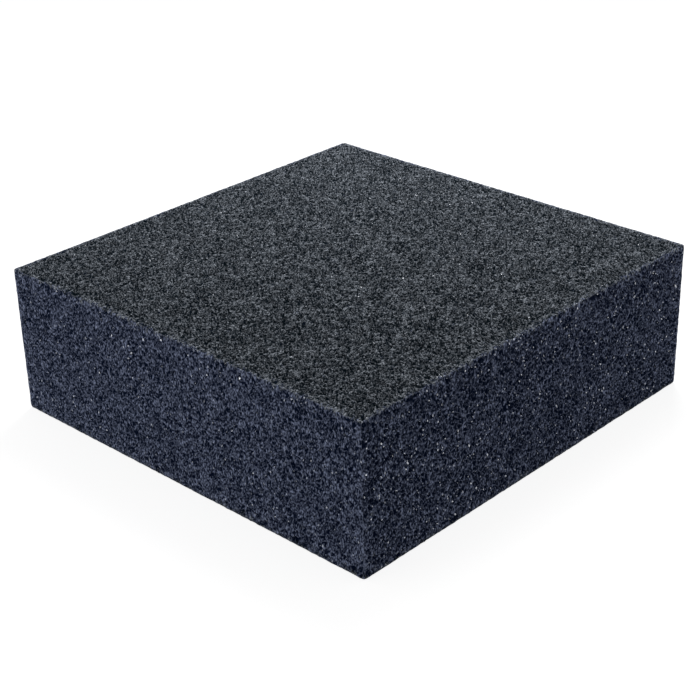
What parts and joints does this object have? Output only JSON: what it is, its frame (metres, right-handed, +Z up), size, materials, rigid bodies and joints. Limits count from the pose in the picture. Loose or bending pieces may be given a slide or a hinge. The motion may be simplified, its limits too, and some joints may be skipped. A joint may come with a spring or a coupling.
{
  "type": "polyethylene foam plank",
  "caption": "Rectangular block of dark charcoal closed-cell polyethylene foam with flat sawn sides and sharp edges, used as a cushioning pad, spacer or packing block.",
  "frame": {"origin": "centre of the bottom face", "axes": "+Z up through the plank's thickness, +X along the longer side, +Y along the shorter side"},
  "size_m": [0.152, 0.15, 0.05],
  "materials": {
    "charcoal_foam": "cut closed-cell foam, matt charcoal, with a fine open-cell grain on every face"
  },
  "bodies": {
    "root": {"foam_plank": "charcoal_foam"}
  },
  "joints": []
}
